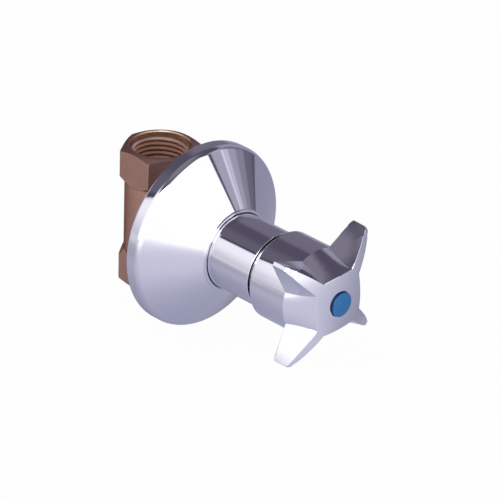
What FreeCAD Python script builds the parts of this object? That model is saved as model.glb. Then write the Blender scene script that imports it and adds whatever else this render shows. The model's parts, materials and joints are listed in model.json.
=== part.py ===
"""Concealed stop valve: bronze pipe body, headpart, chromed sleeve, wall flange and four-arm handle.

The frame has its origin on the pipe line at the first full turn of the inlet port's thread. +Z runs
up the pipe line to the outlet port, and -Y points out of the wall towards the handle. All sizes are
in millimetres.

Everything on the spindle's axis is drawn upright first: the axis is the local Z, and the distance
along it, called s in the comments, is counted forward from the pipe line. Each finished piece is
then turned so that s runs along -Y at the spindle's height.
"""
import FreeCAD, Part
import math
import os

hex_half_angle = math.radians(30)
hex_flats_per_corner_r = 2 * math.cos(hex_half_angle)

# Clearances
thread_gap = 0.08           # between the plain cylinders that stand for a screwed thread
running_gap = 0.05          # shafts, guides and splines
slide_gap = 0.3             # between tubes that pass each other
flat_gap = 0.1              # axial play of a piece that turns
socket_spare = 0.5          # room beyond the end of a stub or a stem
lift_spare = 0.7            # room beyond a piece at the end of its lift

# Front boss: the headpart screws into it and the sleeve screws over it
headpart_thread_r = 10.48   # parallel half-inch pipe thread, major radius
headpart_thread_depth = 1.48
boss_wall = 2.14
boss_front = 28.0
boss_r = headpart_thread_r + boss_wall
chamber_r = headpart_thread_r - headpart_thread_depth

# Seat and partition inside the body
partition_back = -1.5
partition_front = 1.0
web_thickness = 2.0
seat_lip_width = 1.5
seat_lip_height = 0.8
washer_margin = 1.4         # from the chamber's wall in to the soft washer
washer_overhang = 0.6       # from the soft washer's edge in to the seat's lip
washer_r = chamber_r - washer_margin
seat_lip_r = washer_r - washer_overhang
seat_hole_r = seat_lip_r - seat_lip_width
seat_plane = partition_front + seat_lip_height

# Pipe run of the body
waterway_r = 9.2
waterway_run = 4.0          # plain bore between the partition and a port's thread
port_thread_r = 10.48       # parallel half-inch pipe thread, major radius
port_thread_length = 11.7
port_lead_in = 0.5
partition_reach = chamber_r + web_thickness
port_half = partition_reach + waterway_run + port_thread_length
port_hex_flats = 25.5
port_hex_length = 11.2
port_chamfer_r = 11.7       # round edge of the port's flat face
port_chamfer_angle = 26.0
shoulder_angle = 45.0       # cone between the hexagon and the neck
neck_r = 12.65

# Valve carrier and its washer
lift = 5.0                  # travel from shut to fully open
washer_thickness = 2.5
carrier_disc_margin = 0.7   # from the chamber's wall in to the carrier's disc
carrier_disc_thickness = 2.6
carrier_disc_land = 1.56    # straight edge of the disc behind its chamfer
carrier_disc_r = chamber_r - carrier_disc_margin
carrier_disc_back = seat_plane + washer_thickness
carrier_disc_front = carrier_disc_back + carrier_disc_thickness
carrier_floor = 2.2         # solid stem between the disc and the threaded bore
carrier_stud_r = 2.0
stem_spare = 2.0            # from the stem to the spindle's collar at full lift
washer_nut_flats = 7.0
washer_nut_height = 2.6

# Headpart
gasket_thickness = 0.8
collar_inset = 0.62         # from the boss's outside in to the collar
collar_thickness = 1.4
collar_hex_inset = 0.1      # from the collar in to the hexagon's corners
collar_hex_length = 4.8
bonnet_neck_r = 8.5
bonnet_neck_length = 14.0
bonnet_nose_length = 2.4
barrel_chamfer = 0.6
barrel_relief = 0.4         # undercut behind the collar
barrel_relief_length = 1.0
bonnet_edge = 0.8
guide_wall = 1.08           # nose wall at the corners of the hexagonal guide
bearing_length = 15.0       # bore that the spindle's journal turns in
pocket_length = 3.0         # room for the spindle's collar behind that bore
collar_r = boss_r - collar_inset
collar_hex_flats = (collar_r - collar_hex_inset) * hex_flats_per_corner_r
bonnet_nose_r = chamber_r - slide_gap
guide_flats = (bonnet_nose_r - guide_wall) * hex_flats_per_corner_r
collar_back = boss_front + gasket_thickness
hex_back = collar_back + collar_thickness
hex_front = hex_back + collar_hex_length
bonnet_front = hex_front + bonnet_neck_length
bonnet_back = carrier_disc_front + lift + lift_spare
headpart_thread_start = bonnet_back + bonnet_nose_length - barrel_relief_length
bearing_back = bonnet_front - bearing_length

# Spindle, its rings, washer and clip
spindle_collar_r = 6.3
spindle_collar_length = 2.2
journal_r = 5.0
spindle_thread_r = 4.6
spindle_chamfer = 0.6
thrust_washer_r = 8.0
thrust_washer_thickness = 1.0
clip_r = 6.2
clip_seat_r = 4.2
clip_thickness = 1.0
clip_gap_width = 4.0
clip_land = 1.0             # journal left in front of the clip
ring_section_r = 0.55
ring_groove_width = 1.5
ring_first = 4.0            # from the back of the bearing bore to the first ring
ring_pitch = 4.5
spline_teeth = 20
spline_tip_r = 4.0
spline_root_r = 3.65
spline_root_share = 0.34    # of the tooth pitch, from a tooth's middle to its root corner
spline_tip_share = 0.16     # the same to its tip corner
spline_length = 8.3
tapped_hole_r = 2.05
tapped_hole_depth = 10.0
carrier_bore_back = carrier_disc_front + carrier_floor
spindle_back = carrier_bore_back + socket_spare + lift
spindle_collar_front = bearing_back - flat_gap
spindle_collar_back = spindle_collar_front - spindle_collar_length
carrier_stem_front = spindle_collar_back - lift - stem_spare
clip_groove_back = bonnet_front + thrust_washer_thickness + flat_gap
clip_groove_front = clip_groove_back + clip_thickness + flat_gap
journal_front = clip_groove_front + clip_land
spindle_front = journal_front + spline_length

# Spindle extension
extension_gap = 0.8         # from the spindle's journal to the bar
extension_r = 6.0
extension_length = 19.0
extension_edge = 0.5
extension_stub_length = 8.0
screw_hole_r = 2.25
extension_back = journal_front + extension_gap
extension_shoulder = extension_back + extension_length

# Handle
hub_recess = 11.7           # from the skirt's rear edge in to the hub
skirt_r = 16.0
skirt_length = 18.0
skirt_bevel_length = 2.2
skirt_bevel_depth = 1.8
skirt_wall = 2.8
hollow_crown = 1.3          # from the bottom of the hollow to the end of the skirt
hub_r = 6.8
crown_depth = 11.7          # from the end of the skirt to the middle of the face
face_dome_r = 63.0
face_square_half = 9.5
handle_turn = 4.0           # how far the handle stands turned at rest, seen from the front
arm_count = 4
first_arm_turn = 45.0
arm_reach = 27.7
arm_root_reach = 8.0
arm_root_half_width = 8.9
arm_tip_half_width = 0.55
arm_crest_half_width = 1.35
arm_root_rise = 0.7         # arm's rear face at its root, in front of the skirt's end
arm_tip_sweep = 1.2         # arm's rear face at its tip, behind the skirt's end
arm_tip_round = 1.2
handle_rear = extension_shoulder - hub_recess
skirt_front = handle_rear + skirt_length
skirt_bore_r = skirt_r - skirt_wall
hollow_front = skirt_front - hollow_crown
handle_face = skirt_front + crown_depth
stub_front = extension_shoulder + extension_stub_length

# Sleeve and its guide ring
sleeve_wall = 1.3
sleeve_engagement = 7.0     # thread shared by the sleeve and the boss
sleeve_edge = 0.3
sleeve_step = 2.0           # inside taper from the sleeve's bore to the spigot's
spigot_length = 4.6
spigot_wall = 1.0
handle_gap = 1.15           # open joint between sleeve and handle
guide_ring_width = 1.8
guide_ring_groove = 0.5
guide_ring_land = 1.0
sleeve_bore_r = boss_r + thread_gap
sleeve_r = sleeve_bore_r + sleeve_wall
sleeve_back = boss_front - sleeve_engagement
sleeve_front = handle_rear - handle_gap
spigot_r = skirt_bore_r - slide_gap
spigot_front = sleeve_front + spigot_length
guide_groove_front = spigot_front - guide_ring_land
guide_groove_back = guide_groove_front - guide_ring_width
guide_groove_r = spigot_r - guide_ring_groove

# Wall flange and its grip ring
flange_r = 34.0
flange_front = 39.5
flange_depth = 20.0
flange_wall = 1.0
flange_rim_depth = 5.6      # from the back edge to where the rim would meet the cone
flange_rim_round = 3.0
flange_lip = 1.3            # flat ring left in front of the cone, beside the sleeve
flange_lip_drop = 0.8
flange_lip_round = 0.45
flange_bore_round = 0.3
flange_collar_depth = 7.0
flange_collar_wall = 2.7
grip_ring_section_r = 0.95
grip_ring_gap = 0.04
grip_groove_land = 1.0
grip_groove_play = 0.2
flange_back = flange_front - flange_depth
flange_bore_r = sleeve_r + slide_gap
flange_cone_r = flange_bore_r + flange_lip
flange_cone_front = flange_front - flange_lip_drop
flange_rim_corner = flange_back + flange_rim_depth
flange_collar_back = flange_front - flange_collar_depth
flange_collar_r = flange_bore_r + flange_collar_wall
grip_groove_back = flange_collar_back + grip_groove_land
grip_groove_front = grip_groove_back + 2 * grip_ring_section_r + grip_groove_play
grip_ring_r = sleeve_r + grip_ring_gap + grip_ring_section_r
grip_groove_r = grip_ring_r + grip_ring_section_r + running_gap

# Handle screw, its washer and the index button
screw_recess_depth = 6.0
screw_recess_r = 4.0
lock_washer_r = 3.6
lock_washer_thickness = 0.8
lock_washer_slit = 0.7
screw_r = 1.95
screw_chamfer = 0.4
screw_engagement = 6.5      # thread shared by the screw and the spindle
screw_head_r = 3.5
screw_head_height = 2.4
screw_socket_flats = 3.0
screw_socket_depth = 1.5
button_r = 4.5
button_rise = 1.1
button_sunk = 1.6
button_edge_round = 0.35
button_stem_r = 3.8
button_stem_length = 0.8
screw_seat = handle_face - screw_recess_depth
screw_head_back = screw_seat + lock_washer_thickness
screw_head_front = screw_head_back + screw_head_height
screw_end = spindle_front - screw_engagement
button_seat = handle_face - button_sunk

overlap = 1.0               # how far tools and joined pieces run into each other
match = 0.01                # how close a size must be to pick out an edge

origin = FreeCAD.Vector(0, 0, 0)
up = FreeCAD.Vector(0, 0, 1)
across = FreeCAD.Vector(1, 0, 0)
spindle_centre = FreeCAD.Vector(0, 0, port_half - port_lead_in)
quarter_turn = math.radians(90)


def on_spindle(shape):
    """Turn a piece drawn along local Z on to the spindle's axis."""
    placed = shape.copy()
    placed.rotate(origin, across, 90)
    placed.translate(spindle_centre)
    return placed


def save(name, shape):
    """Write one piece under its own name."""
    shape.exportStep("parts/" + name + ".step")


def turned(points):
    """Solid turned about local Z from (radius, s) points."""
    corners = [FreeCAD.Vector(radius, 0, along) for radius, along in points]
    outline = Part.makePolygon(corners + corners[:1])
    return Part.Face(outline).revolve(origin, up, 360)


def rod(radius, back, front):
    """Plain round bar."""
    return Part.makeCylinder(radius, front - back, FreeCAD.Vector(0, 0, back))


def ring(inner_r, outer_r, back, front):
    """Flat or tubular ring."""
    return rod(outer_r, back, front).cut(rod(inner_r, back, front))


def around(radius, turn, along):
    """Point at a radius and a turn about local Z."""
    return FreeCAD.Vector(radius * math.cos(turn), radius * math.sin(turn), along)


def prism(flats, back, front):
    """Hexagonal bar, sized across its flats, with two flats facing local X."""
    corner_r = flats / hex_flats_per_corner_r
    corners = [around(corner_r, hex_half_angle * (2 * step + 1), back) for step in range(6)]
    outline = Part.makePolygon(corners + corners[:1])
    return Part.Face(outline).extrude(FreeCAD.Vector(0, 0, front - back))


def splined(tip_r, root_r, back, front):
    """Toothed bar with square-topped teeth all round."""
    corners = []
    pitch = 2 * math.pi / spline_teeth
    tooth_corners = (
        (-spline_root_share, root_r),
        (-spline_tip_share, tip_r),
        (spline_tip_share, tip_r),
        (spline_root_share, root_r),
    )
    for tooth in range(spline_teeth):
        for share, radius in tooth_corners:
            corners.append(around(radius, (tooth + share) * pitch, back))
    outline = Part.makePolygon(corners + corners[:1])
    return Part.Face(outline).extrude(FreeCAD.Vector(0, 0, front - back))


def splined_socket(back, front):
    """Tool for the socket that a splined stub slides into."""
    return splined(spline_tip_r + running_gap, spline_root_r + running_gap, back, front)


def box(x0, x1, y0, y1, z0, z1):
    """Block between two corners."""
    return Part.makeBox(x1 - x0, y1 - y0, z1 - z0, FreeCAD.Vector(x0, y0, z0))


def edges_at(shape, radius, along):
    """Round edges of one radius at one place along local Z."""
    found = []
    for edge in shape.Edges:
        if isinstance(edge.Curve, Part.Circle):
            same_radius = abs(edge.Curve.Radius - radius) < match
            if same_radius and abs(edge.Curve.Center.z - along) < match:
                found.append(edge)
    return found


def port_end():
    """Outside of one port: hexagon with a chamfered mouth and a coned shoulder."""
    corner_r = port_hex_flats / hex_flats_per_corner_r
    hex_start = port_half - port_hex_length
    chamfer_drop = (corner_r - port_chamfer_r) * math.tan(math.radians(port_chamfer_angle))
    shoulder = (corner_r - neck_r) / math.tan(math.radians(shoulder_angle))
    envelope = turned([
        (0, hex_start - shoulder),
        (neck_r, hex_start - shoulder),
        (corner_r, hex_start),
        (corner_r, port_half - chamfer_drop),
        (port_chamfer_r, port_half),
        (0, port_half),
    ])
    return prism(port_hex_flats, hex_start - shoulder, port_half).common(envelope)


def port_bore():
    """Threaded mouth of one port with its lead-in, and the waterway behind it."""
    thread_end = port_half - port_thread_length
    mouth = turned([
        (0, thread_end),
        (port_thread_r, thread_end),
        (port_thread_r, port_half - port_lead_in),
        (port_thread_r + port_lead_in, port_half),
        (0, port_half),
    ])
    return mouth.fuse(rod(waterway_r, partition_reach, thread_end))


def partition_passages():
    """Waterway on both sides of the stepped partition: inlet behind it, outlet in front."""
    far = 2 * port_half
    tube = rod(waterway_r, -partition_reach, partition_reach)
    inlet_side = box(-far, far, -partition_back, far, -partition_reach, chamber_r)
    outlet_side = box(-far, far, -far, -partition_front, -chamber_r, partition_reach)
    return tube.common(inlet_side).fuse(tube.common(outlet_side))


def valve_body():
    """Body casting: two ports on the pipe line, a seat in a stepped partition and a front boss."""
    upper = port_end()
    lower = upper.mirror(origin, up)
    neck = rod(neck_r, -port_half + port_hex_length, port_half - port_hex_length)
    boss = rod(boss_r, 0, boss_front)

    bore = port_bore()
    passages = bore.fuse([bore.mirror(origin, up), partition_passages()])
    work = rod(chamber_r, partition_front, headpart_thread_start)
    work = work.fuse(rod(headpart_thread_r, headpart_thread_start, boss_front))
    lip = rod(seat_lip_r, partition_front - overlap, seat_plane)
    seat_hole = rod(seat_hole_r, partition_back - overlap, seat_plane + overlap)
    for piece in (boss, work, lip, seat_hole):
        piece.rotate(origin, across, 90)

    casting = upper.fuse([lower, neck, boss]).cut(passages).cut(work)
    casting = casting.fuse(lip).cut(seat_hole).removeSplitter()
    casting.translate(spindle_centre)
    return casting


def bonnet_gasket():
    """Sealing ring between the boss and the headpart's collar."""
    inner_r = headpart_thread_r - thread_gap
    return ring(inner_r, collar_r, boss_front, collar_back)


def bonnet():
    """Headpart body: screwed barrel, spanner hexagon, long neck and a hexagonal guide inside."""
    barrel_r = headpart_thread_r - thread_gap
    barrel_back = bonnet_back + bonnet_nose_length
    relief_back = boss_front - barrel_relief_length
    outside = turned([
        (0, bonnet_back),
        (bonnet_nose_r, bonnet_back),
        (bonnet_nose_r, barrel_back),
        (barrel_r - barrel_chamfer, barrel_back),
        (barrel_r, barrel_back + barrel_chamfer),
        (barrel_r, relief_back),
        (barrel_r - barrel_relief, relief_back),
        (barrel_r - barrel_relief, collar_back),
        (collar_r, collar_back),
        (collar_r, hex_back),
        (bonnet_neck_r, hex_back),
        (bonnet_neck_r, bonnet_front - bonnet_edge),
        (bonnet_neck_r - bonnet_edge, bonnet_front),
        (0, bonnet_front),
    ])
    outside = outside.fuse(prism(collar_hex_flats, hex_back, hex_front))
    guide_front = bearing_back - pocket_length
    pocket_r = spindle_collar_r + 2 * running_gap
    inside = prism(guide_flats, bonnet_back - overlap, guide_front)
    inside = inside.fuse(rod(pocket_r, guide_front - overlap, bearing_back))
    bearing = rod(journal_r + running_gap, bearing_back - overlap, bonnet_front + overlap)
    return outside.cut(inside.fuse(bearing))


def spindle():
    """Spindle: carrier thread, thrust collar, sealed journal, clip groove and splined end."""
    bar = turned([
        (0, spindle_back),
        (spindle_thread_r - spindle_chamfer, spindle_back),
        (spindle_thread_r, spindle_back + spindle_chamfer),
        (spindle_thread_r, spindle_collar_back),
        (spindle_collar_r, spindle_collar_back),
        (spindle_collar_r, spindle_collar_front),
        (journal_r, spindle_collar_front),
        (journal_r, journal_front - spindle_chamfer),
        (journal_r - spindle_chamfer, journal_front),
        (0, journal_front),
    ])
    groove_floor = journal_r - 2 * ring_section_r - running_gap
    for order in range(2):
        middle = ring_place(order)
        back = middle - ring_groove_width / 2
        bar = bar.cut(ring(groove_floor, journal_r + overlap, back, back + ring_groove_width))
    bar = bar.cut(ring(clip_seat_r, journal_r + overlap, clip_groove_back, clip_groove_front))
    bar = bar.fuse(splined(spline_tip_r, spline_root_r, journal_front - overlap, spindle_front))
    tapped_back = spindle_front - tapped_hole_depth
    return bar.cut(rod(tapped_hole_r, tapped_back, spindle_front + overlap))


def ring_place(order):
    """Middle of one of the two sealing rings on the spindle, counted from the back."""
    return bearing_back + ring_first + ring_pitch * order


def spindle_ring(order):
    """Sealing ring in one of the spindle's grooves."""
    middle = FreeCAD.Vector(0, 0, ring_place(order))
    return Part.makeTorus(journal_r - ring_section_r, ring_section_r, middle)


def thrust_washer():
    """Washer between the clip and the headpart's front face."""
    back = bonnet_front + flat_gap / 2
    return ring(journal_r + running_gap, thrust_washer_r, back, back + thrust_washer_thickness)


def retaining_clip():
    """Open spring clip in the spindle's groove."""
    back = clip_groove_back + flat_gap / 2
    front = back + clip_thickness
    half_gap = clip_gap_width / 2
    clip = ring(clip_seat_r + running_gap, clip_r, back, front)
    return clip.cut(box(-half_gap, half_gap, 0, clip_r + overlap, back, front))


def valve_carrier():
    """Carrier: disc in front of the washer, hexagonal stem, blind threaded bore and rear stud."""
    chamfer_back = carrier_disc_back + carrier_disc_land
    chamfer_r = carrier_disc_r - (carrier_disc_front - chamfer_back)
    disc = turned([
        (0, carrier_disc_back),
        (carrier_disc_r, carrier_disc_back),
        (carrier_disc_r, chamfer_back),
        (chamfer_r, carrier_disc_front),
        (0, carrier_disc_front),
    ])
    stem_flats = guide_flats - 2 * running_gap
    stem = prism(stem_flats, chamfer_back, carrier_stem_front)
    stud = rod(carrier_stud_r, seat_plane - washer_nut_height, carrier_disc_back)
    bore_r = spindle_thread_r + running_gap
    bore = rod(bore_r, carrier_bore_back, carrier_stem_front + overlap)
    return disc.fuse([stem, stud]).cut(bore)


def valve_washer():
    """Soft washer that closes the seat."""
    return ring(carrier_stud_r + running_gap, washer_r, seat_plane, carrier_disc_back)


def washer_nut():
    """Nut that holds the soft washer on the carrier's stud."""
    back = seat_plane - washer_nut_height
    nut = prism(washer_nut_flats, back, seat_plane)
    return nut.cut(rod(carrier_stud_r + running_gap, back - overlap, seat_plane + overlap))


def sleeve():
    """Chromed cover tube, screwed on to the boss, with a spigot that guides the handle."""
    spigot_inner_r = spigot_r - spigot_wall
    taper_front = sleeve_front - sleeve_step
    return turned([
        (sleeve_bore_r, sleeve_back),
        (sleeve_r - sleeve_edge, sleeve_back),
        (sleeve_r, sleeve_back + sleeve_edge),
        (sleeve_r, sleeve_front - sleeve_edge),
        (sleeve_r - sleeve_edge, sleeve_front),
        (spigot_r, sleeve_front),
        (spigot_r, guide_groove_back),
        (guide_groove_r, guide_groove_back),
        (guide_groove_r, guide_groove_front),
        (spigot_r, guide_groove_front),
        (spigot_r, spigot_front),
        (spigot_inner_r, spigot_front),
        (spigot_inner_r, taper_front),
        (sleeve_bore_r, taper_front - sleeve_step),
    ])


def guide_ring():
    """Plastic ring on the sleeve's spigot that the handle's skirt turns on."""
    outer_r = skirt_bore_r - running_gap
    return ring(guide_groove_r, outer_r, guide_groove_back, guide_groove_front)


def flange():
    """Wall flange: thin conical shell with a rim, a rolled front lip and a collar inside."""
    cone_depth = flange_cone_front - flange_rim_corner
    cone_slope = (flange_r - flange_cone_r) / cone_depth
    inner_rim_r = flange_r - flange_wall
    cone_wall = flange_wall * math.hypot(1, cone_slope)
    inner_corner = flange_rim_corner - (cone_wall - flange_wall) / cone_slope
    collar_top = flange_rim_corner + (flange_r - cone_wall - flange_collar_r) / cone_slope
    shell = turned([
        (inner_rim_r, flange_back),
        (flange_r, flange_back),
        (flange_r, flange_rim_corner),
        (flange_cone_r, flange_cone_front),
        (flange_cone_r, flange_front),
        (flange_bore_r, flange_front),
        (flange_bore_r, grip_groove_front),
        (grip_groove_r, grip_groove_front),
        (grip_groove_r, grip_groove_back),
        (flange_bore_r, grip_groove_back),
        (flange_bore_r, flange_collar_back),
        (flange_collar_r, flange_collar_back),
        (flange_collar_r, collar_top),
        (inner_rim_r, inner_corner),
    ])
    for radius, along, rounding in (
        (flange_r, flange_rim_corner, flange_rim_round),
        (flange_cone_r, flange_front, flange_lip_round),
        (flange_bore_r, flange_front, flange_bore_round),
    ):
        shell = shell.makeFillet(rounding, edges_at(shell, radius, along))
    return shell


def flange_grip_ring():
    """Rubber ring in the flange's collar that holds the flange where it is pushed."""
    middle = FreeCAD.Vector(0, 0, (grip_groove_back + grip_groove_front) / 2)
    return Part.makeTorus(grip_ring_r, grip_ring_section_r, middle)


def spindle_extension():
    """Extension bar: splined socket at the back, splined stub at the front."""
    bar = turned([
        (0, extension_back),
        (extension_r - extension_edge, extension_back),
        (extension_r, extension_back + extension_edge),
        (extension_r, extension_shoulder - extension_edge),
        (extension_r - extension_edge, extension_shoulder),
        (0, extension_shoulder),
    ])
    stub = splined(spline_tip_r, spline_root_r, extension_shoulder - overlap, stub_front)
    socket = splined_socket(extension_back - overlap, spindle_front + socket_spare)
    hole = rod(screw_hole_r, extension_back, stub_front + overlap)
    return bar.fuse(stub).cut(socket).cut(hole)


def handle_core():
    """Skirt turned round, then blended from its circle to the square of the face."""
    above = handle_face + overlap
    skirt = turned([
        (0, handle_rear),
        (skirt_r - skirt_bevel_depth, handle_rear),
        (skirt_r, handle_rear + skirt_bevel_length),
        (skirt_r, skirt_front),
        (0, skirt_front),
    ])
    corner_r = face_square_half * math.sqrt(2)
    arcs = []
    sides = []
    for quarter in range(4):
        start = (quarter + 0.5) * quarter_turn
        middle = start + quarter_turn / 2
        end = start + quarter_turn
        bend = [around(skirt_r, turn, skirt_front) for turn in (start, middle, end)]
        arcs.append(Part.Arc(*bend).toShape())
        sides.append(Part.makeLine(around(corner_r, start, above), around(corner_r, end, above)))
    blend = Part.makeLoft([Part.Wire(arcs), Part.Wire(sides)], True, True)
    return skirt.fuse(blend)


def handle_arm():
    """One arm along local X: ruled flanks that narrow to a thin tip."""
    above = handle_face + overlap
    sections = []
    for reach, crest, foot, back in (
        (arm_root_reach, arm_crest_half_width, arm_root_half_width, skirt_front + arm_root_rise),
        (arm_reach, arm_tip_half_width, arm_tip_half_width, skirt_front - arm_tip_sweep),
    ):
        corners = [
            FreeCAD.Vector(reach, -foot, back),
            FreeCAD.Vector(reach, foot, back),
            FreeCAD.Vector(reach, crest, above),
            FreeCAD.Vector(reach, -crest, above),
        ]
        sections.append(Part.makePolygon(corners + corners[:1]))
    return Part.makeLoft(sections, True, True).common(arm_outline())


def arm_outline():
    """Side outline of an arm as a slab, with both corners of its tip rounded."""
    dome_drop = face_dome_r - math.sqrt(face_dome_r ** 2 - arm_reach ** 2)
    tip_back = skirt_front - arm_tip_sweep
    width = arm_root_half_width + overlap
    slab = box(0, arm_reach, -width, width, tip_back, handle_face - dome_drop)
    rounded = slab.makeFillet(arm_tip_round, [edge for edge in slab.Edges if is_across_tip(edge)])
    inner = box(0, arm_reach - arm_tip_round, -width, width, tip_back, handle_face + overlap)
    return rounded.fuse(inner)


def is_across_tip(edge):
    """True for an edge of an arm's end that runs across its thickness."""
    first, second = (vertex.Point for vertex in edge.Vertexes)
    at_tip = min(first.x, second.x) > arm_reach - match
    return at_tip and abs(first.z - second.z) < match


def face_dome():
    """Ball whose front makes the handle's shallow domed face, with its seam turned to the back."""
    ball = Part.makeSphere(face_dome_r, origin, across)
    seam = max(ball.Edges, key=lambda edge: edge.Length)
    middle = seam.valueAt((seam.FirstParameter + seam.LastParameter) / 2)
    ball.rotate(origin, across, math.degrees(math.atan2(middle.y, middle.z)) + 180)
    ball.translate(FreeCAD.Vector(0, 0, handle_face - face_dome_r))
    return ball


def handle():
    """Handle casting: skirt, four arms under one domed face, and the hub for the spindle."""
    solid = handle_core()
    for arm in range(arm_count):
        piece = handle_arm()
        piece.rotate(origin, up, first_arm_turn + 360 / arm_count * arm)
        solid = solid.fuse(piece)
    solid = solid.common(face_dome()).removeSplitter()
    solid.rotate(origin, up, handle_turn)

    hollow = rod(skirt_bore_r, handle_rear - overlap, hollow_front)
    hollow = hollow.cut(rod(hub_r, extension_shoulder, hollow_front))
    socket = splined_socket(extension_shoulder - overlap, stub_front + socket_spare)
    hole = rod(screw_hole_r, extension_shoulder, screw_seat + overlap)
    recess = rod(screw_recess_r, screw_seat, handle_face + overlap)
    button_place = rod(button_r + running_gap, button_seat, handle_face + overlap)
    return solid.cut([hollow, socket, hole, recess, button_place])


def lock_washer():
    """Split washer under the screw's head."""
    half_slit = lock_washer_slit / 2
    washer = ring(screw_r + running_gap, lock_washer_r, screw_seat, screw_head_back)
    slit = box(-half_slit, half_slit, 0, lock_washer_r + overlap, screw_seat, screw_head_back)
    return washer.cut(slit)


def handle_screw():
    """Long screw that draws the handle and the extension on to the spindle."""
    screw = turned([
        (0, screw_end),
        (screw_r - screw_chamfer, screw_end),
        (screw_r, screw_end + screw_chamfer),
        (screw_r, screw_head_back),
        (screw_head_r, screw_head_back),
        (screw_head_r, screw_head_front - screw_chamfer),
        (screw_head_r - screw_chamfer, screw_head_front),
        (0, screw_head_front),
    ])
    socket_back = screw_head_front - screw_socket_depth
    return screw.cut(prism(screw_socket_flats, socket_back, screw_head_front + overlap))


def index_button():
    """Coloured button that closes the screw's recess."""
    top = handle_face + button_rise
    button = rod(button_r, button_seat, top)
    button = button.makeFillet(button_edge_round, edges_at(button, button_r, top))
    return button.fuse(rod(button_stem_r, button_seat - button_stem_length, button_seat))


def main():
    """Build each piece and write it under its node's name."""
    os.makedirs("parts", exist_ok=True)
    save("valve_body", valve_body())
    on_axis = {
        "bonnet_gasket": bonnet_gasket(),
        "bonnet": bonnet(),
        "spindle": spindle(),
        "spindle_ring_inner": spindle_ring(0),
        "spindle_ring_outer": spindle_ring(1),
        "thrust_washer": thrust_washer(),
        "retaining_clip": retaining_clip(),
        "valve_carrier": valve_carrier(),
        "valve_washer": valve_washer(),
        "washer_nut": washer_nut(),
        "sleeve": sleeve(),
        "guide_ring": guide_ring(),
        "flange": flange(),
        "flange_grip_ring": flange_grip_ring(),
        "spindle_extension": spindle_extension(),
        "handle": handle(),
        "lock_washer": lock_washer(),
        "handle_screw": handle_screw(),
        "index_button": index_button(),
    }
    for name, shape in on_axis.items():
        save(name, on_spindle(shape))


main()
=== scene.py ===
"""Looks of a concealed stop valve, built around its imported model.

The valve's solids keep their shapes. Each visible one is shown as a merged, smoothly shaded copy
with a procedural finish, and the pipe threads in the two ports are added as helical ridges.
Lengths are in metres, and s is the distance out of the wall along the spindle's axis.
"""
import json
import logging
import math
from dataclasses import dataclass, field
from enum import Enum
from typing import Optional

import bmesh
import bpy
from mathutils import Matrix, Vector


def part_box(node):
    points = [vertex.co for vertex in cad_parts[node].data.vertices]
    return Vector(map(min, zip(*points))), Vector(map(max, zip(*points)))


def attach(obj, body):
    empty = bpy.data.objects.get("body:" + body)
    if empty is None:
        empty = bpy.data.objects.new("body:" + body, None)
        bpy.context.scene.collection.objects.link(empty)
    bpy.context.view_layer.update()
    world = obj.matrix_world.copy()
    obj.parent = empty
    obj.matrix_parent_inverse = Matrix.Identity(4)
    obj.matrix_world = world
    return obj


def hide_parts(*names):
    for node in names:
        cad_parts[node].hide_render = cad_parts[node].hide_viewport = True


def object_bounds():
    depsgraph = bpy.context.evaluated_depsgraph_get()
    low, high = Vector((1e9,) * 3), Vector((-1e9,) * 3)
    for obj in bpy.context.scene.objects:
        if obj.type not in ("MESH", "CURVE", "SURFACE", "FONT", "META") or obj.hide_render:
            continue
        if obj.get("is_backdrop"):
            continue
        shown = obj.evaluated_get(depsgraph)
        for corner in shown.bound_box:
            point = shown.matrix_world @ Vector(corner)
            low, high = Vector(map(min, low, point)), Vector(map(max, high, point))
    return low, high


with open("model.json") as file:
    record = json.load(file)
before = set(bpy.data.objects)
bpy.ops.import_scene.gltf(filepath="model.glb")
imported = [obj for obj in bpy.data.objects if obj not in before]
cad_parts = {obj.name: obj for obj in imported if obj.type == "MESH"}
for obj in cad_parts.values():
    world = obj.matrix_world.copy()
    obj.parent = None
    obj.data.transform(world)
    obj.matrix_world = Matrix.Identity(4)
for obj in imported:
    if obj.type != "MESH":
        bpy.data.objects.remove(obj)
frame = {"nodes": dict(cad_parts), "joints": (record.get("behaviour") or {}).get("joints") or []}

MM = 0.001
Colour = tuple[float, float, float]
WHITE: Colour = (1.0, 1.0, 1.0)
TOLERANCE = 0.01 * MM

log = logging.getLogger("valve")


class Body(Enum):
    """Rigid bodies of the valve that a piece can ride on."""

    FIXED = "fixed"
    SPINDLE = "spindle_group"
    FLANGE = "flange_group"


class Look(Enum):
    """Finishes of the valve, each with its own name and the record's slot that it belongs to."""

    CAST_BRONZE = ("bronze_cast", "bronze_casting")
    CUT_BRONZE = ("bronze_cut", "bronze_casting")
    THREAD_BRONZE = ("bronze_thread", "bronze_casting")
    BRASS = ("brass", "brass_turned")
    CHROME = ("chrome", "chrome_plate")
    # Painted shade for the gap between sleeve and handle.
    CHROME_GAP_SHADE = ("chrome_gap_shade", "chrome_plate")
    RUBBER = ("rubber", "rubber_black")
    STEEL = ("steel", "steel_bright")
    FIBRE = ("fibre", "fibre_gasket")
    WHITE = ("plastic_white", "white_plastic")
    BLUE = ("plastic_blue", "blue_plastic")
    # Painted shade on the button's side.
    BLUE_SIDE_SHADE = ("plastic_blue_side_shade", "blue_plastic")

    @property
    def title(self) -> str:
        """Name of the material."""
        return self.value[0]

    @property
    def slot(self) -> str:
        """Name of the slot in the record."""
        return self.value[1]


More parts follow.
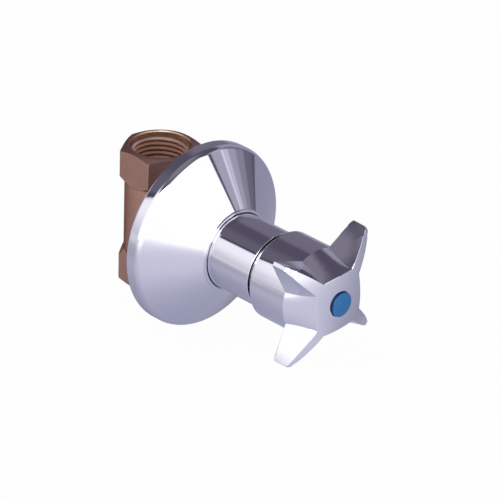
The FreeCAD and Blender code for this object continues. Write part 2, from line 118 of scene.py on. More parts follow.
class Desk:
    """Small helper that adds and links the nodes of one tree.

    The MIX numbers are the places of a colour Mix node's sockets, which share their names with
    those of its other modes.
    """

    MIX_SHARE, MIX_FIRST, MIX_SECOND, MIX_RESULT = 0, 6, 7, 2

    def __init__(self, tree: bpy.types.NodeTree) -> None:
        """Take the tree to work on.

        Args:
            tree: The node tree of a material, a world or a group.
        """
        self.tree = tree

    def add(self, kind: str, **settings: object) -> bpy.types.Node:
        """Add one node.

        Args:
            kind: The node's type name.
            **settings: Attributes to set on it.

        Returns:
            The new node.
        """
        node = self.tree.nodes.new(kind)
        for name, value in settings.items():
            setattr(node, name, value)
        return node

    def give(self, socket: bpy.types.NodeSocket, value: object) -> None:
        """Set a socket, or link it.

        Args:
            socket: The input to fill.
            value: A value, or the socket to link from.
        """
        if isinstance(value, bpy.types.NodeSocket):
            self.tree.links.new(value, socket)
        else:
            socket.default_value = value

    def feed(self, node: bpy.types.Node, **inputs: object) -> bpy.types.Node:
        """Set or link a node's inputs by name, with underscores for spaces.

        Args:
            node: The node to feed.
            **inputs: A value, or the socket to link from, for each input.

        Returns:
            The same node.
        """
        for name, value in inputs.items():
            self.give(node.inputs[name.replace("_", " ")], value)
        return node

    def place(self) -> bpy.types.NodeSocket:
        """Coordinates of the object itself."""
        return self.add("ShaderNodeTexCoord").outputs["Object"]

    def split(self, vector: bpy.types.NodeSocket) -> list[bpy.types.NodeSocket]:
        """Split a vector into its three parts."""
        return list(self.feed(self.add("ShaderNodeSeparateXYZ"), Vector=vector).outputs)

    def math(self, operation: str, first: object, second: object = 0.0) -> bpy.types.NodeSocket:
        """Add a Math node.

        Args:
            operation: The node's operation.
            first: A number or a socket.
            second: A number or a socket.

        Returns:
            Its output.
        """
        node = self.add("ShaderNodeMath", operation=operation)
        for socket, value in zip(node.inputs, (first, second)):
            self.give(socket, value)
        return node.outputs[0]

    def vector_math(self, operation: str, first: object,
                    second: object = (0.0, 0.0, 0.0)) -> bpy.types.Node:
        """Add a Vector Math node.

        Args:
            operation: The node's operation.
            first: A vector or a socket.
            second: A vector or a socket.

        Returns:
            The node, whose Vector or Value output holds the result.
        """
        node = self.add("ShaderNodeVectorMath", operation=operation)
        for socket, value in zip(node.inputs, (first, second)):
            self.give(socket, value)
        return node

    def blend(self, amount: object, first: object, second: object) -> bpy.types.NodeSocket:
        """Mix two colours.

        Args:
            amount: The share of the second colour, as a number or a socket.
            first: A colour or a socket.
            second: A colour or a socket.

        Returns:
            The mixed colour.
        """
        node = self.add("ShaderNodeMix", data_type="RGBA")
        self.give(node.inputs[self.MIX_SHARE], amount)
        for index, colour in ((self.MIX_FIRST, first), (self.MIX_SECOND, second)):
            value = (*colour, 1.0) if isinstance(colour, tuple) else colour
            self.give(node.inputs[index], value)
        return node.outputs[self.MIX_RESULT]

    def spread(self, value: object, low: float, high: float) -> bpy.types.NodeSocket:
        """Stretch a value of 0 to 1 over a range.

        Args:
            value: The socket to stretch.
            low: The result at 0.
            high: The result at 1.

        Returns:
            The stretched value.
        """
        node = self.add("ShaderNodeMapRange")
        self.feed(node, Value=value, To_Min=low, To_Max=high)
        return node.outputs[0]

    def smooth(self, value: object, start: float, end: float) -> bpy.types.NodeSocket:
        """Smooth step from 0 at start to 1 at end.

        Args:
            value: The socket to test.
            start: Where the step begins.
            end: Where the step ends.

        Returns:
            A value from 0 to 1.
        """
        node = self.add("ShaderNodeMapRange", interpolation_type="SMOOTHSTEP")
        self.feed(node, Value=value, From_Min=start, From_Max=end)
        return node.outputs[0]


class EffectGroups:
    """Shared effects, each a node group that is built once and placed with its own values."""

    FINER_CLOUDS = 6.3
    FINE_SHARE = 0.35
    CLOUD_MIDDLE = 0.675
    PIT_RIM = 0.28
    PIT_FLOOR = 0.08
    PIT_DEPTH = 0.3
    WAVER_SCALE = 300.0

    def __init__(self) -> None:
        """Build the groups."""
        self.cloudiness = self._cloudiness()
        self.cast_grain = self._cast_grain()
        self.turning_lines = self._turning_lines()

    @staticmethod
    def _open(name: str, inputs: dict[str, float], outputs: tuple[str, ...]
              ) -> tuple[bpy.types.NodeTree, Desk, bpy.types.Node, bpy.types.Node]:
        """Start a group with named number sockets.

        Args:
            name: The group's name.
            inputs: Each input's default value.
            outputs: The outputs' names.

        Returns:
            The group, its desk, its input node and its output node.
        """
        group = bpy.data.node_groups.new(name, "ShaderNodeTree")
        for label, default in inputs.items():
            socket = group.interface.new_socket(
                label, in_out="INPUT", socket_type="NodeSocketFloat")
            socket.default_value = default
        for label in outputs:
            group.interface.new_socket(label, in_out="OUTPUT", socket_type="NodeSocketFloat")
        desk = Desk(group)
        return group, desk, desk.add("NodeGroupInput"), desk.add("NodeGroupOutput")

    def _cloudiness(self) -> bpy.types.NodeTree:
        """Soft clouds for tone and haze, from two sizes of noise.

        Returns:
            The group, with a Mask output from 0 to 1.
        """
        group, desk, given, result = self._open(
            "cloudiness", {"Scale": 60.0, "Contrast": 1.0}, ("Mask",))
        place = desk.place()
        broad = desk.add("ShaderNodeTexNoise")
        desk.feed(broad, Vector=place, Scale=given.outputs["Scale"], Detail=4.0, Roughness=0.6)
        fine_scale = desk.math("MULTIPLY", given.outputs["Scale"], self.FINER_CLOUDS)
        fine = desk.add("ShaderNodeTexNoise")
        desk.feed(fine, Vector=place, Scale=fine_scale, Detail=3.0)
        added = desk.math("MULTIPLY", fine.outputs[0], self.FINE_SHARE)
        both = desk.math("ADD", broad.outputs[0], added)
        centred = desk.math("SUBTRACT", both, self.CLOUD_MIDDLE)
        scaled = desk.math("MULTIPLY", centred, given.outputs["Contrast"])
        mask = desk.add("ShaderNodeClamp")
        desk.feed(mask, Value=desk.math("ADD", scaled, 0.5))
        desk.feed(result, Mask=mask.outputs[0])
        return group

    def _cast_grain(self) -> bpy.types.NodeTree:
        """Sand-cast skin: close grain with scattered shallow pits.

        Returns:
            The group, with Height and Pits outputs.
        """
        group, desk, given, result = self._open(
            "cast_grain", {"Grain": 2200.0, "Pits": 500.0}, ("Height", "Pits"))
        place = desk.place()
        grain = desk.add("ShaderNodeTexNoise")
        desk.feed(grain, Vector=place, Scale=given.outputs["Grain"], Detail=5.0, Roughness=0.65)
        cells = desk.add("ShaderNodeTexVoronoi")
        desk.feed(cells, Vector=place, Scale=given.outputs["Pits"])
        pits = desk.smooth(cells.outputs["Distance"], self.PIT_RIM, self.PIT_FLOOR)
        sunk = desk.math("MULTIPLY", pits, self.PIT_DEPTH)
        desk.feed(result, Height=desk.math("SUBTRACT", grain.outputs[0], sunk), Pits=pits)
        return group

    def _turning_lines(self) -> bpy.types.NodeTree:
        """Fine rings left by turning, along the piece's own Y.

        Returns:
            The group, with a Height output.
        """
        group, desk, given, result = self._open(
            "turning_lines", {"Pitch": 9000.0, "Waver": 0.2}, ("Height",))
        place = desk.place()
        _, along, _ = desk.split(place)
        line = desk.add("ShaderNodeTexNoise", noise_dimensions="1D")
        desk.feed(line, W=desk.math("MULTIPLY", along, given.outputs["Pitch"]), Detail=2.0)
        loose = desk.add("ShaderNodeTexNoise")
        desk.feed(loose, Vector=place, Scale=self.WAVER_SCALE)
        waver = desk.math("MULTIPLY", loose.outputs[0], given.outputs["Waver"])
        desk.feed(result, Height=desk.math("ADD", line.outputs[0], waver))
        return group


@dataclass(frozen=True)
class Finish:
    """One finish: two tones clouded together, a range of roughness and a relief."""

    FINER_RELIEF = 20

    look: Look
    tone: Colour
    second_tone: Colour
    metallic: float
    roughness: tuple[float, float]
    cloud_scale: float = 60.0
    contrast: float = 1.6
    relief: float = 0.0
    relief_depth: float = 0.02 * MM
    specular: float = 0.5
    edge_tint: Colour = WHITE

    def _relief(self, desk: Desk, effects: EffectGroups) -> bpy.types.NodeSocket:
        """Height for the bump, which each kind of finish gives in its own way.

        Args:
            desk: The material's desk.
            effects: The shared effects.

        Returns:
            A height socket.
        """
        cloud = desk.add("ShaderNodeGroup", node_tree=effects.cloudiness)
        desk.feed(cloud, Scale=self.cloud_scale * self.FINER_RELIEF, Contrast=1.0)
        return cloud.outputs["Mask"]

    def _tint(self, desk: Desk, effects: EffectGroups,
              mask: bpy.types.NodeSocket) -> bpy.types.NodeSocket:
        """Base colour over the surface.

        Args:
            desk: The material's desk.
            effects: The shared effects.
            mask: The clouds' mask.

        Returns:
            A colour socket.
        """
        return desk.blend(mask, self.tone, self.second_tone)

    def build(self, effects: EffectGroups) -> bpy.types.Material:
        """Make the material.

        Args:
            effects: The shared effects.

        Returns:
            The finished material.
        """
        material = bpy.data.materials.new(self.look.title)
        material.use_nodes = True
        desk = Desk(material.node_tree)
        shader = material.node_tree.nodes["Principled BSDF"]
        cloud = desk.add("ShaderNodeGroup", node_tree=effects.cloudiness)
        desk.feed(cloud, Scale=self.cloud_scale, Contrast=self.contrast)
        mask = cloud.outputs["Mask"]
        desk.feed(shader, Base_Color=self._tint(desk, effects, mask), Metallic=self.metallic,
                  Roughness=desk.spread(mask, *self.roughness),
                  Specular_IOR_Level=self.specular, Specular_Tint=(*self.edge_tint, 1.0))
        if self.relief:
            bump = desk.add("ShaderNodeBump")
            desk.feed(bump, Strength=self.relief, Distance=self.relief_depth,
                      Height=self._relief(desk, effects))
            desk.feed(shader, Normal=bump.outputs[0])
        return material


@dataclass(frozen=True)
class CastFinish(Finish):
    """Raw casting: grain, darker pits, and painted shade in a thin ring where the neck meets the
    ports' shoulders.
    """

    grain: float = 2200.0
    pits: float = 420.0
    pit_share: float = 0.2
    pit_tone: Colour = (0.20, 0.12, 0.09)
    body_middle: float = 26.2 * MM
    # Painted shade: a thin dark ring where the neck meets each port's shoulder, standing in for
    # the shade in that corner.
    shoulder_shade_reach: float = 13.45 * MM
    shoulder_shade_width: float = 0.24 * MM
    shoulder_shade_share: float = 0.75
    shoulder_shade_tone: Colour = (0.13, 0.07, 0.05)

    def _grain(self, desk: Desk, effects: EffectGroups) -> bpy.types.Node:
        """Place the grain group in a material."""
        node = desk.add("ShaderNodeGroup", node_tree=effects.cast_grain)
        return desk.feed(node, Grain=self.grain, Pits=self.pits)

    def _relief(self, desk: Desk, effects: EffectGroups) -> bpy.types.NodeSocket:
        """Height of the casting's skin."""
        return self._grain(desk, effects).outputs["Height"]

    def _shoulder_shade(self, desk: Desk) -> bpy.types.NodeSocket:
        """Tell how much painted shade lies on the surface, in a thin ring beside each shoulder.

        Args:
            desk: The material's desk.

        Returns:
            A share from 0 to 1.
        """
        _, _, height = desk.split(desk.place())
        reach = desk.math("ABSOLUTE", desk.math("SUBTRACT", height, self.body_middle))
        distance = desk.math("ABSOLUTE", desk.math("SUBTRACT", reach, self.shoulder_shade_reach))
        return desk.math("SUBTRACT", 1.0, desk.smooth(distance, 0.0, self.shoulder_shade_width))

    def _tint(self, desk: Desk, effects: EffectGroups,
              mask: bpy.types.NodeSocket) -> bpy.types.NodeSocket:
        """Clouded tones with darker pits and the painted shade beside each shoulder.

        Args:
            desk: The material's desk.
            effects: The shared effects.
            mask: The clouds' mask.

        Returns:
            A colour socket.
        """
        pits = self._grain(desk, effects).outputs["Pits"]
        pits = desk.math("MULTIPLY", pits, self.pit_share)
        # Painted shade beside each shoulder.
        shoulder_shade = desk.math("MULTIPLY", self._shoulder_shade(desk), self.shoulder_shade_share)
        skin = desk.blend(pits, desk.blend(mask, self.tone, self.second_tone), self.pit_tone)
        return desk.blend(shoulder_shade, skin, self.shoulder_shade_tone)


@dataclass(frozen=True)
class ThreadFinish(Finish):
    """Cut thread, darker towards the bottom of its grooves, as painted shade."""

    ACROSS_PIPE = (1.0, 1.0, 0.0)

    bright_radius: float = 9.8 * MM
    groove_radius: float = 10.35 * MM
    # Painted shade at the bottom of the grooves.
    groove_shade_tone: Colour = (0.34, 0.175, 0.125)

    def _tint(self, desk: Desk, effects: EffectGroups,
              mask: bpy.types.NodeSocket) -> bpy.types.NodeSocket:
        """Clouded tones that fade to painted shade away from the pipe line, towards the bottom of
        the grooves.

        Args:
            desk: The material's desk.
            effects: The shared effects.
            mask: The clouds' mask.

        Returns:
            A colour socket.
        """
        across = desk.vector_math("MULTIPLY", desk.place(), self.ACROSS_PIPE).outputs["Vector"]
        radius = desk.vector_math("LENGTH", across).outputs["Value"]
        # Painted shade, deeper towards the bottom of the grooves.
        groove_shade = desk.smooth(radius, self.bright_radius, self.groove_radius)
        return desk.blend(groove_shade, desk.blend(mask, self.tone, self.second_tone), self.groove_shade_tone)


@dataclass(frozen=True)
class TurnedFinish(Finish):
    """Turned metal with fine rings along the spindle's axis."""

    pitch: float = 9000.0
    waver: float = 0.3

    def _relief(self, desk: Desk, effects: EffectGroups) -> bpy.types.NodeSocket:
        """Height of the turning rings."""
        node = desk.add("ShaderNodeGroup", node_tree=effects.turning_lines)
        return desk.feed(node, Pitch=self.pitch, Waver=self.waver).outputs["Height"]


def finishes() -> list[Finish]:
    """List every finish of the valve."""
    return [
        CastFinish(Look.CAST_BRONZE, (0.475, 0.27, 0.20), (0.575, 0.335, 0.248), 0.95,
                   (0.24, 0.36), cloud_scale=110.0, relief=0.3, relief_depth=0.04 * MM,
                   edge_tint=(0.45, 0.34, 0.30)),
        Finish(Look.CUT_BRONZE, (0.47, 0.30, 0.23), (0.54, 0.35, 0.265), 0.95, (0.27, 0.34),
               cloud_scale=150.0, edge_tint=(0.45, 0.34, 0.30)),
        # The thread's tones are about twice the cut bronze's, as a painted highlight on its
        # crests.
        ThreadFinish(Look.THREAD_BRONZE, (1.0, 0.70, 0.56), (1.0, 0.76, 0.62), 0.95, (0.30, 0.38),
                     cloud_scale=150.0, edge_tint=(0.6, 0.46, 0.40)),
        TurnedFinish(Look.BRASS, (0.72, 0.53, 0.26), (0.80, 0.62, 0.34), 1.0, (0.18, 0.30),
                     relief=0.3),
        Finish(Look.CHROME, (0.69, 0.69, 0.755), (0.72, 0.72, 0.785), 1.0, (0.03, 0.07),
               cloud_scale=45.0, relief=0.06, relief_depth=0.01 * MM),
        # Painted shade: nearly black chrome for the spigot, which shows only in the gap between
        # sleeve and handle.
        Finish(Look.CHROME_GAP_SHADE, (0.045, 0.045, 0.05), (0.07, 0.07, 0.075), 1.0, (0.45, 0.6)),
        Finish(Look.RUBBER, (0.018, 0.018, 0.020), (0.035, 0.035, 0.036), 0.0, (0.55, 0.75),
               relief=0.4, relief_depth=0.03 * MM),
        TurnedFinish(Look.STEEL, (0.55, 0.55, 0.56), (0.64, 0.64, 0.65), 1.0, (0.22, 0.34),
                     relief=0.3),
        Finish(Look.FIBRE, (0.30, 0.07, 0.045), (0.42, 0.13, 0.08), 0.0, (0.7, 0.9),
               cloud_scale=400.0, relief=0.6, relief_depth=0.05 * MM),
        Finish(Look.WHITE, (0.78, 0.78, 0.74), (0.85, 0.85, 0.82), 0.0, (0.35, 0.5),
               relief=0.2),
        Finish(Look.BLUE, (0.010, 0.095, 0.255), (0.015, 0.115, 0.30), 0.0, (0.26, 0.36),
               cloud_scale=220.0, relief=0.05, specular=0.35),
        # Darker blue for the button's side and rounded edge, as painted shade.
        Finish(Look.BLUE_SIDE_SHADE, (0.002, 0.018, 0.065), (0.003, 0.024, 0.08), 0.0, (0.4, 0.5),
               cloud_scale=220.0, specular=0.2),
    ]


class Workshop:
    """Holds the finishes, and makes and places pieces."""

    SHARP_ANGLE = math.radians(38)
    MERGE = 0.0015 * MM
    SPIN_STEPS = 224

    def __init__(self) -> None:
        """Build the effects and the finishes."""
        self.effects = EffectGroups()
        self.materials = {finish.look: finish.build(self.effects) for finish in finishes()}
        hinge = next(joint for joint in frame["joints"] if joint["type"] == "hinge")
        self.spindle_height = hinge["pos_m"][2]

    def dress(self, node: str, look: Look) -> None:
        """Give a CAD node its finish.

        Args:
            node: The node's name.
            look: The finish.
        """
        mesh = frame["nodes"][node].data
        mesh.materials.clear()
        mesh.materials.append(self.materials[look])

    def place(self, mesh: bmesh.types.BMesh, name: str, look: Look, body: Body,
              second_look: Optional[Look] = None, crease: float = SHARP_ANGLE) -> bpy.types.Object:
        """Turn a finished bmesh into a piece of the valve.

        Args:
            mesh: The geometry, already in place.
            name: The piece's name.
            look: Its finish.
            body: The body that it rides on.
            second_look: The finish of the faces marked with index 1.
            crease: The angle between faces from which an edge looks sharp.

        Returns:
            The new object.
        """
        data = bpy.data.meshes.new(name)
        for face in mesh.faces:
            face.smooth = True
        mesh.to_mesh(data)
        mesh.free()
        data.set_sharp_from_angle(angle=crease)
        data.materials.append(self.materials[look])
        if second_look:
            data.materials.append(self.materials[second_look])
        piece = bpy.data.objects.new(name, data)
        bpy.context.scene.collection.objects.link(piece)
        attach(piece, body.value)
        log.info("%s: %d faces", name, len(data.polygons))
        return piece

    def turned(self, outline: list[tuple[float, float]], edges: float = 0.0) -> bmesh.types.BMesh:
        """Turn a closed outline about the spindle's axis.

        Args:
            outline: Corners as (radius, s), in order.
            edges: How far every corner's edge is rounded.

        Returns:
            The solid, in place.
        """
        mesh = bmesh.new()
        corners = [mesh.verts.new((radius, -s, self.spindle_height)) for radius, s in outline]
        sides = [mesh.edges.new((first, second))
                 for first, second in zip(corners, corners[1:] + corners[:1])]
        bmesh.ops.spin(
            mesh, geom=[*corners, *sides], cent=(0, 0, self.spindle_height), axis=(0, 1, 0),
            angle=math.tau, steps=self.SPIN_STEPS, use_merge=True, use_duplicate=False)
        bmesh.ops.remove_doubles(mesh, verts=mesh.verts, dist=self.MERGE)
        bmesh.ops.recalc_face_normals(mesh, faces=mesh.faces)
        if edges:
            self.soften(mesh, self.sharp_edges(mesh), edges)
        return mesh

    def sharp_edges(self, mesh: bmesh.types.BMesh) -> list[bmesh.types.BMEdge]:
        """List the edges where faces meet at more than the sharp angle."""
        return [edge for edge in mesh.edges
                if len(edge.link_faces) == 2 and edge.calc_face_angle() > self.SHARP_ANGLE]

    @staticmethod
    def soften(mesh: bmesh.types.BMesh, edges: list[bmesh.types.BMEdge], offset: float,
               segments: int = 3) -> None:
        """Round some edges.

        Args:
            mesh: The geometry.
            edges: The edges to round.
            offset: How far the rounding reaches from each edge.
            segments: How many steps the rounding has.
        """
        bmesh.ops.bevel(mesh, geom=edges, offset=offset, offset_type="OFFSET", segments=segments,
                        profile=0.5, affect="EDGES", clamp_overlap=False, material=-1)

    def merged(self, node: str) -> bmesh.types.BMesh:
        """Copy a CAD node's mesh with its loose triangles merged.

        Args:
            node: The node's name.

        Returns:
            The merged geometry.
        """
        mesh = bmesh.new()
        mesh.from_mesh(frame["nodes"][node].data)
        bmesh.ops.remove_doubles(mesh, verts=mesh.verts, dist=self.MERGE)
        return mesh

    def stand_in(self, mesh: bmesh.types.BMesh, node: str, look: Look, body: Body,
                 second_look: Optional[Look] = None, crease: float = SHARP_ANGLE) -> None:
        """Show a finished mesh in the place of a CAD node.

        Args:
            mesh: The geometry, already in place.
            node: The node that it stands for.
            look: Its finish.
            body: The body that carries the node.
            second_look: The finish of the faces marked with index 1.
            crease: The angle between faces from which an edge looks sharp.
        """
        piece = self.place(mesh, node + "_surface", look, body, second_look, crease)
        even = piece.modifiers.new("even_shading", "WEIGHTED_NORMAL")
        even.keep_sharp = True
        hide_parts(node)


@dataclass
class PipeBody:
    """Bronze body on the pipe line, with the threads that its two ports carry."""

    shop: Workshop
    pitch: float = 1.814 * MM
    crest_radius: float = 9.35 * MM
    root_radius: float = 10.50 * MM
    crest_flat: float = 0.30 * MM
    root_flat: float = 1.62 * MM
    turns: int = 6
    steps_per_turn: int = 72
    first_turn: float = 1.25 * MM
    run_in: float = math.radians(50)
    start_share: float = 0.04
    cut_depth: float = 12.0 * MM
    bore_margin: float = 0.2 * MM
    end_facing: float = 0.5
    upright: float = 0.99
    corner_reach: float = 14.0 * MM
    corner_edge: float = 0.18 * MM
    crease: float = math.radians(20)

    def build(self) -> None:
        """Show the casting with its cut faces, and a thread in both ports."""
        mesh = self.shop.merged("valve_body")
        self._mark_cut_faces(mesh)
        corners = [edge for edge in self.shop.sharp_edges(mesh) if self._is_hexagon_corner(edge)]
        self.shop.soften(mesh, corners, self.corner_edge)
        self.shop.stand_in(mesh, "valve_body", Look.CAST_BRONZE, Body.FIXED, Look.CUT_BRONZE,
                           self.crease)
        for name, side in (("outlet_thread", 1), ("inlet_thread", -1)):
            self._thread(name, side)

    def _mark_cut_faces(self, mesh: bmesh.types.BMesh) -> None:
        """Give the machined ends and the threaded bores the second finish.

        Args:
            mesh: The casting.
        """
        height = self.shop.spindle_height
        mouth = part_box("valve_body")[1].z - height
        for face in mesh.faces:
            centre = face.calc_center_median()
            near_mouth = mouth - abs(centre.z - height) < self.cut_depth
            in_bore = math.hypot(centre.x, centre.y) < self.root_radius + self.bore_margin
            on_end = abs(face.normal.z) > self.end_facing
            face.material_index = int(near_mouth and (in_bore or on_end))

    def _is_hexagon_corner(self, edge: bmesh.types.BMEdge) -> bool:
        """Tell whether an edge is one of the upright corners of a port's hexagon.

        Args:
            edge: The edge to test.

        Returns:
            True for an upright edge as far from the pipe line as a corner is.
        """
        first, second = (vert.co for vert in edge.verts)
        upright = abs((second - first).normalized().z) > self.upright
        return upright and math.hypot(first.x, first.y) > self.corner_reach

    def _thread(self, name: str, side: int) -> None:
        """Add the helical ridge inside one port.

        Args:
            name: The piece's name.
            side: 1 for the upper port, -1 for the lower one.
        """
        mesh = bmesh.new()
        height = self.shop.spindle_height
        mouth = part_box("valve_body")[1].z - height
        first = mouth - self.first_turn
        outline = [
            (self.root_radius, self.root_flat / 2),
            (self.crest_radius, self.crest_flat / 2),
            (self.crest_radius, -self.crest_flat / 2),
            (self.root_radius, -self.root_flat / 2),
        ]
        start = [mesh.verts.new((radius, 0, first + rise)) for radius, rise in outline]
        profile = mesh.faces.new(start)
        steps = self.turns * self.steps_per_turn
        bmesh.ops.spin(
            mesh, geom=[profile, *profile.edges, *start], cent=(0, 0, 0), axis=(0, 0, 1),
            dvec=(0, 0, -self.pitch / self.steps_per_turn), angle=-math.tau * self.turns,
            steps=steps, use_merge=False, use_duplicate=False)
        self._fade_start(mesh, first)
        if side < 0:
            bmesh.ops.rotate(mesh, verts=mesh.verts, cent=(0, 0, 0),
                             matrix=Matrix.Rotation(math.pi, 3, "X"))
        bmesh.ops.translate(mesh, verts=mesh.verts, vec=(0, 0, height))
        bmesh.ops.recalc_face_normals(mesh, faces=mesh.faces)
        self.shop.place(mesh, name, Look.THREAD_BRONZE, Body.FIXED)

    def _fade_start(self, mesh: bmesh.types.BMesh, first: float) -> None:
        """Let the ridge grow out of the bore over the start of its first turn.

        Args:
            mesh: The ridge.
            first: Height of the ridge's start.
        """
        for vert in mesh.verts:
            swept = -math.atan2(vert.co.y, vert.co.x) % math.tau
            middle = first - self.pitch * swept / math.tau
            if swept > self.run_in or middle - vert.co.z > self.pitch / 2:
                continue
            share = self.start_share + (1 - self.start_share) * swept / self.run_in
            rise = self.root_radius - vert.co.xy.length
            vert.co.z = middle + (vert.co.z - middle) * share
            vert.co.xy = vert.co.xy.normalized() * (self.root_radius - rise * share)


@dataclass
class Headpart:
    """Turned pieces inside the body and the sleeve."""

    shop: Workshop
    nodes: dict[str, Look] = field(default_factory=lambda: {
        "bonnet": Look.BRASS,
        "bonnet_gasket": Look.FIBRE,
        "spindle": Look.BRASS,
        "spindle_ring_inner": Look.RUBBER,
        "spindle_ring_outer": Look.RUBBER,
        "thrust_washer": Look.WHITE,
        "retaining_clip": Look.STEEL,
        "valve_carrier": Look.BRASS,
        "valve_washer": Look.RUBBER,
        "washer_nut": Look.BRASS,
        "spindle_extension": Look.BRASS,
    })

    def build(self) -> None:
        """Dress each piece."""
        for node, look in self.nodes.items():
            self.shop.dress(node, look)
            log.info("%s dressed", node)


@dataclass
class Trim:
    """Chromed pieces in front of the wall: sleeve, flange and their rings."""

    shop: Workshop
    rim_radius: float = 34.0 * MM
    wall: float = 1.0 * MM
    rim_depth: float = 5.6 * MM
    rim_round: float = 1.5 * MM
    rim_steps: int = 8
    back_round: float = 0.9 * MM
    back_steps: int = 6
    lip_radius: float = 15.2 * MM
    lip_drop: float = 0.6 * MM
    bore_radius: float = 14.2 * MM
    collar_radius: float = 17.0 * MM
    collar_depth: float = 7.0 * MM
    sleeve_radius: float = 14.0 * MM
    sleeve_wall: float = 1.3 * MM
    bore_taper: tuple[float, float] = (2.0 * MM, 4.0 * MM)
    spigot_radius: float = 12.9 * MM
    spigot_length: float = 4.6 * MM
    spigot_wall: float = 1.0 * MM
    small_edge: float = 0.22 * MM

    def build(self) -> None:
        """Turn the chromed shells and dress the rings."""
        self._sleeve()
        self._flange()
        self.shop.dress("guide_ring", Look.WHITE)
        self.shop.dress("flange_grip_ring", Look.RUBBER)

    def _sleeve(self) -> None:
        """Turn the cover tube with its spigot, which is painted nearly black as the shade in the
        gap before the handle.
        """
        low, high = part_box("sleeve")
        back, spigot_front = -high.y, -low.y
        front = spigot_front - self.spigot_length
        bore = self.sleeve_radius - self.sleeve_wall
        spigot_bore = self.spigot_radius - self.spigot_wall
        mesh = self.shop.turned([
            (bore, back),
            (self.sleeve_radius, back),
            (self.sleeve_radius, front),
            (self.spigot_radius, front),
            (self.spigot_radius, spigot_front),
            (spigot_bore, spigot_front),
            (spigot_bore, front - self.bore_taper[0]),
            (bore, front - self.bore_taper[1]),
        ], self.small_edge)
        # The spigot's faces take the gap's painted shade.
        for face in mesh.faces:
            centre = face.calc_center_median()
            radius = math.hypot(centre.x, centre.z - self.shop.spindle_height)
            face.material_index = int(radius < self.spigot_radius + TOLERANCE)
        self.shop.stand_in(mesh, "sleeve", Look.CHROME, Body.FIXED, Look.CHROME_GAP_SHADE)

    def _flange(self) -> None:
        """Turn the conical shell, with a round rim and a rolled lip."""
        low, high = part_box("flange")
        back, front = -high.y, -low.y
        rim_corner = back + self.rim_depth
        cone_front = front - self.lip_drop
        slope = (self.rim_radius - self.lip_radius) / (cone_front - rim_corner)
        cone_wall = self.wall * math.hypot(1, slope)
        inner_rim = self.rim_radius - self.wall
        inner_corner = rim_corner - (cone_wall - self.wall) / slope
        collar_top = rim_corner + (self.rim_radius - cone_wall - self.collar_radius) / slope
        mesh = self.shop.turned([
            (inner_rim, back),
            (self.rim_radius, back),
            (self.rim_radius, rim_corner),
            (self.lip_radius, cone_front),
            (self.lip_radius, front),
            (self.bore_radius, front),
            (self.bore_radius, front - self.collar_depth),
            (self.collar_radius, front - self.collar_depth),
            (self.collar_radius, collar_top),
            (inner_rim, inner_corner),
        ])
        corner = [edge for edge in mesh.edges if self._on_rim(edge, rim_corner)]
        back_edge = [edge for edge in mesh.edges if self._on_rim(edge, back)]
        self.shop.soften(mesh, corner, self.rim_round, self.rim_steps)
        self.shop.soften(mesh, back_edge, self.back_round, self.back_steps)
        self.shop.soften(mesh, self.shop.sharp_edges(mesh), self.small_edge)
        self.shop.stand_in(mesh, "flange", Look.CHROME, Body.FLANGE)

    def _on_rim(self, edge: bmesh.types.BMEdge, s: float) -> bool:
        """Tell whether an edge runs along one ring of the flange's rim.

        Args:
            edge: The edge to test.
            s: The ring's distance out of the wall.

        Returns:
            True where both ends lie on the ring.
        """
        height = self.shop.spindle_height
        return all(
            abs(math.hypot(vert.co.x, vert.co.z - height) - self.rim_radius) < TOLERANCE
            and abs(vert.co.y + s) < TOLERANCE for vert in edge.verts)


@dataclass
class HandleSet:
    """Handle casting with its screw and its index button."""

    shop: Workshop
    dome_radius: float = 63.0 * MM
    dome_front: float = 90.0 * MM
    outline_edge: float = 0.16 * MM
    shortest: float = 0.27 * MM
    crease: float = math.radians(12)
    button_radius: float = 4.5 * MM
    button_drop: float = 0.3 * MM
    button_depth: float = 2.4 * MM
    stem_radius: float = 3.8 * MM
    stem_length: float = 0.8 * MM
    button_edge: float = 0.35 * MM
    # Faces turned further from the front than this take the painted shade.
    front_facing: float = 0.6

    def build(self) -> None:
        """Show the handle and the button, and dress the screw and its washer."""
        self._casting()
        self._button()
        self.shop.dress("handle_screw", Look.STEEL)
        self.shop.dress("lock_washer", Look.STEEL)

    def _casting(self) -> None:
        """Show the handle with the outline of its domed face softened."""
        mesh = self.shop.merged("handle")
        bmesh.ops.dissolve_degenerate(mesh, edges=mesh.edges, dist=self.shortest)
        bmesh.ops.triangulate(mesh, faces=mesh.faces)
        centre = Vector((0, self.dome_radius - self.dome_front, self.shop.spindle_height))
        outline = [
            edge for edge in self.shop.sharp_edges(mesh)
            if all(abs((vert.co - centre).length - self.dome_radius) < TOLERANCE
                   for vert in edge.verts)]
        self.shop.soften(mesh, outline, self.outline_edge)
        self.shop.stand_in(mesh, "handle", Look.CHROME, Body.SPINDLE, crease=self.crease)

    def _button(self) -> None:
        """Turn the button with its stem, its side and rounded edge in a darker blue as painted
        shade.
        """
        front = -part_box("index_button")[0].y - self.button_drop
        seat = front - self.button_depth
        mesh = self.shop.turned([
            (0.0, seat - self.stem_length),
            (self.stem_radius, seat - self.stem_length),
            (self.stem_radius, seat),
            (self.button_radius, seat),
            (self.button_radius, front),
            (0.0, front),
        ], self.button_edge)
        # Side and edge faces take the painted shade.
        for face in mesh.faces:
            face.material_index = int(face.normal.y > -self.front_facing)
        self.shop.stand_in(mesh, "index_button", Look.BLUE, Body.SPINDLE, Look.BLUE_SIDE_SHADE)


